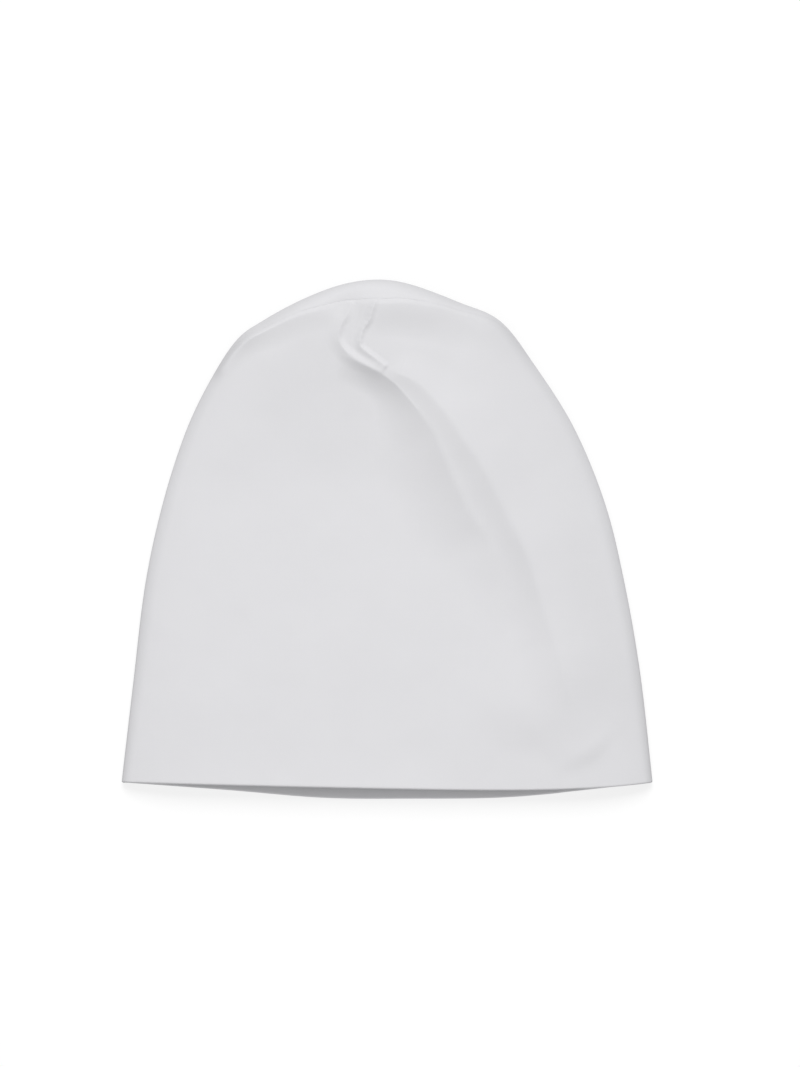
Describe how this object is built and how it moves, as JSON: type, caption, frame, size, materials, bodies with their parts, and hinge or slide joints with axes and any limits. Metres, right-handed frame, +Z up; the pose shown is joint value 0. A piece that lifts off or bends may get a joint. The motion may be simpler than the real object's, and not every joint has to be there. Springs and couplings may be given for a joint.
{
  "type": "beanie",
  "caption": "Plain slouchy jersey beanie lying flat: two doubled panels with a folded hem, a dart pleat and a seam that rolls over the crown.",
  "frame": {"origin": "on the surface that the beanie lies on, under the middle of its outline", "axes": "+X to the right as it is looked down on, +Y from the hem to the crown, +Z up from the surface"},
  "size_m": [0.23, 0.2249, 0.0217],
  "materials": {
    "white_jersey": "matte fine jersey knit"
  },
  "bodies": {
    "root": {"front_panel": "white_jersey", "back_panel": "white_jersey"}
  },
  "joints": []
}
